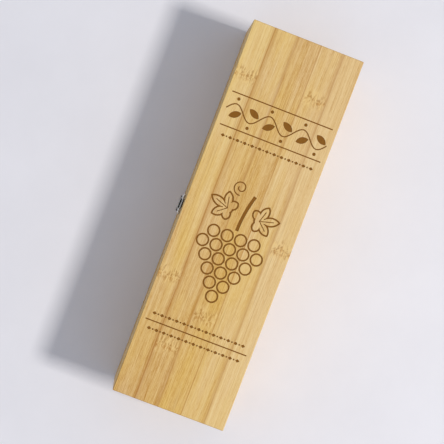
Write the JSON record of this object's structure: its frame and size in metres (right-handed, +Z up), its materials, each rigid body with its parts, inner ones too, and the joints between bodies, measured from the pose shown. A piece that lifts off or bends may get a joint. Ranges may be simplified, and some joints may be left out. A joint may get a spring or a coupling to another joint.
{
  "type": "hinged wooden wine box",
  "caption": "Long hinged wooden box that holds one wine bottle lying down, with an engraved lid, a toggle clasp in front and butt hinges behind.",
  "frame": {"origin": "middle of the box's underside, on the surface it stands on", "axes": "+X along the box from the bottle's neck end to its base end, +Y from the clasp to the hinges, +Z up through the lid"},
  "size_m": [0.352, 0.112, 0.095],
  "materials": {
    "bamboo_lid": "bare laminated bamboo, sanded smooth, with burnt lines",
    "bamboo_board": "bare laminated bamboo, sanded smooth",
    "bamboo_wall": "bare laminated bamboo, sanded smooth",
    "bamboo_rest": "bare laminated bamboo, saw cut and sanded",
    "nickel_plate": "bright nickel plating on pressed steel",
    "plated_pin": "bright nickel plating on drawn wire",
    "plated_screw": "bright nickel plating on steel screws"
  },
  "bodies": {
    "case": {"bottom_board": "bamboo_board", "front_wall": "bamboo_wall", "back_wall": "bamboo_wall", "neck_end_wall": "bamboo_wall", "base_end_wall": "bamboo_wall", "neck_rest": "bamboo_rest", "body_rest": "bamboo_rest", "hinge_a_body_leaf": "nickel_plate", "hinge_b_body_leaf": "nickel_plate", "hinge_a_pin": "plated_pin", "hinge_b_pin": "plated_pin", "hinge_body_screws": "plated_screw", "clasp_base": "nickel_plate", "clasp_base_screws": "plated_screw", "clasp_lever_pin": "plated_pin"},
    "lid": {"lid_board": "bamboo_lid", "lid_front_rail": "bamboo_wall", "lid_back_rail": "bamboo_wall", "lid_neck_end_rail": "bamboo_wall", "lid_base_end_rail": "bamboo_wall", "hinge_a_lid_leaf": "nickel_plate", "hinge_b_lid_leaf": "nickel_plate", "hinge_lid_screws": "plated_screw", "clasp_catch": "nickel_plate", "clasp_catch_screws": "plated_screw"},
    "lever": {"clasp_lever": "nickel_plate"},
    "bail": {"clasp_bail": "plated_pin"}
  },
  "joints": [
    {"name": "lid_hinge", "type": "hinge", "parent": "case", "child": "lid", "pos_m": [0, 0.0541, 0.0688], "axis": [-1, 0, 0], "range_deg": [0, 180]},
    {"name": "clasp_lever_hinge", "type": "hinge", "parent": "case", "child": "lever", "pos_m": [0, -0.05435, 0.062], "axis": [-1, 0, 0], "range_deg": [0, 80]},
    {"name": "clasp_bail_hinge", "type": "hinge", "parent": "lever", "child": "bail", "pos_m": [0, -0.0541, 0.056], "axis": [-1, 0, 0], "range_deg": [-54.4, 0]}
  ],
  "couplings": [
    {"joint": "clasp_bail_hinge", "follows": "clasp_lever_hinge", "ratio": -0.68}
  ]
}
